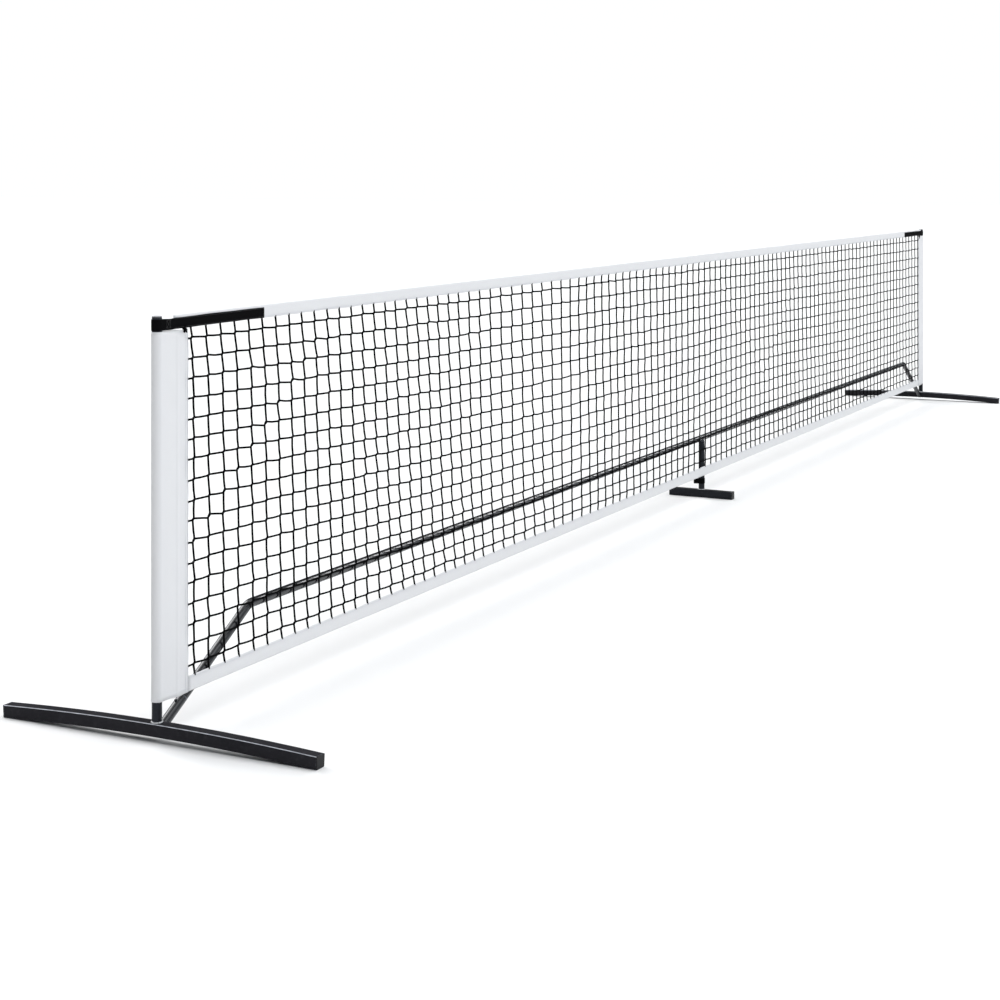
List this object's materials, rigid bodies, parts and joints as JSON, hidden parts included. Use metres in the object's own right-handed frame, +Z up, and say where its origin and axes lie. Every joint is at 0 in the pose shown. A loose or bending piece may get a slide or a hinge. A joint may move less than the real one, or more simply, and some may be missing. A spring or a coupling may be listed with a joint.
{
  "type": "portable pickleball net",
  "caption": "Full-length portable court net: arched steel bases, uprights, braced low bar and centre foot, with a knotted net, white headband and end sleeves.",
  "frame": {"origin": "on the floor, under the middle of the net and in the plane of the uprights", "axes": "+X along the net, from its left upright to its right one; -Y the side that the net hangs on; +Z up"},
  "size_m": [6.736, 0.8296, 0.914],
  "materials": {
    "steel_black": "satin",
    "spring_steel": "satin",
    "plastic_black": "matte",
    "webbing_black": "matte",
    "fabric_white": "matte",
    "twine_black": "matte"
  },
  "bodies": {
    "frame": {"base_tube_left": "steel_black", "upright_spigot_left": "steel_black", "brace_socket_left": "steel_black", "brace_spigot_left": "steel_black", "brace_tube_left": "steel_black", "bar_outer_left": "steel_black", "bar_inner_left": "steel_black", "bar_spigots_left": "steel_black", "base_end_plugs_left": "plastic_black", "button_spring_left": "spring_steel", "base_tube_right": "steel_black", "upright_spigot_right": "steel_black", "brace_socket_right": "steel_black", "brace_spigot_right": "steel_black", "brace_tube_right": "steel_black", "bar_outer_right": "steel_black", "bar_inner_right": "steel_black", "bar_spigots_right": "steel_black", "base_end_plugs_right": "plastic_black", "button_spring_right": "spring_steel", "bar_centre": "steel_black", "centre_stub": "steel_black"},
    "net": {"sleeve_left": "fabric_white", "strap_left": "webbing_black", "sleeve_right": "fabric_white", "strap_right": "webbing_black", "headband": "fabric_white", "bottom_tape": "fabric_white", "net_rows": "twine_black", "net_columns": "twine_black"},
    "centre_foot": {"centre_post": "steel_black", "centre_foot_tube": "steel_black", "centre_foot_plugs": "plastic_black", "post_tie": "webbing_black"},
    "upright_left": {"upright_left": "steel_black", "upright_cap_left": "plastic_black"},
    "upright_right": {"upright_right": "steel_black", "upright_cap_right": "plastic_black"},
    "snap_button_left": {"snap_button_left": "spring_steel"},
    "snap_button_right": {"snap_button_right": "spring_steel"}
  },
  "joints": [
    {"name": "net_lift", "type": "slide", "parent": "frame", "child": "net", "axis": [0, 0, 1], "range_m": [0, 0.85]},
    {"name": "upright_left_lift", "type": "slide", "parent": "frame", "child": "upright_left", "axis": [0, 0, 1], "range_m": [0, 0.1]},
    {"name": "upright_right_lift", "type": "slide", "parent": "frame", "child": "upright_right", "axis": [0, 0, 1], "range_m": [0, 0.1]},
    {"name": "centre_foot_swivel", "type": "hinge", "parent": "frame", "child": "centre_foot", "pos_m": [0, 0.004, 0.1], "axis": [0, 0, 1], "range_deg": [-90, 90]},
    {"name": "button_left_press", "type": "slide", "parent": "frame", "child": "snap_button_left", "axis": [0.515, 0, -0.8572], "range_m": [0, 0.0035], "stiffness_N_per_m": 1500, "springref_m": -0.002, "deforming": ["button_spring_left"]},
    {"name": "button_right_press", "type": "slide", "parent": "frame", "child": "snap_button_right", "axis": [-0.515, 0, -0.8572], "range_m": [0, 0.0035], "stiffness_N_per_m": 1500, "springref_m": -0.002, "deforming": ["button_spring_right"]}
  ]
}
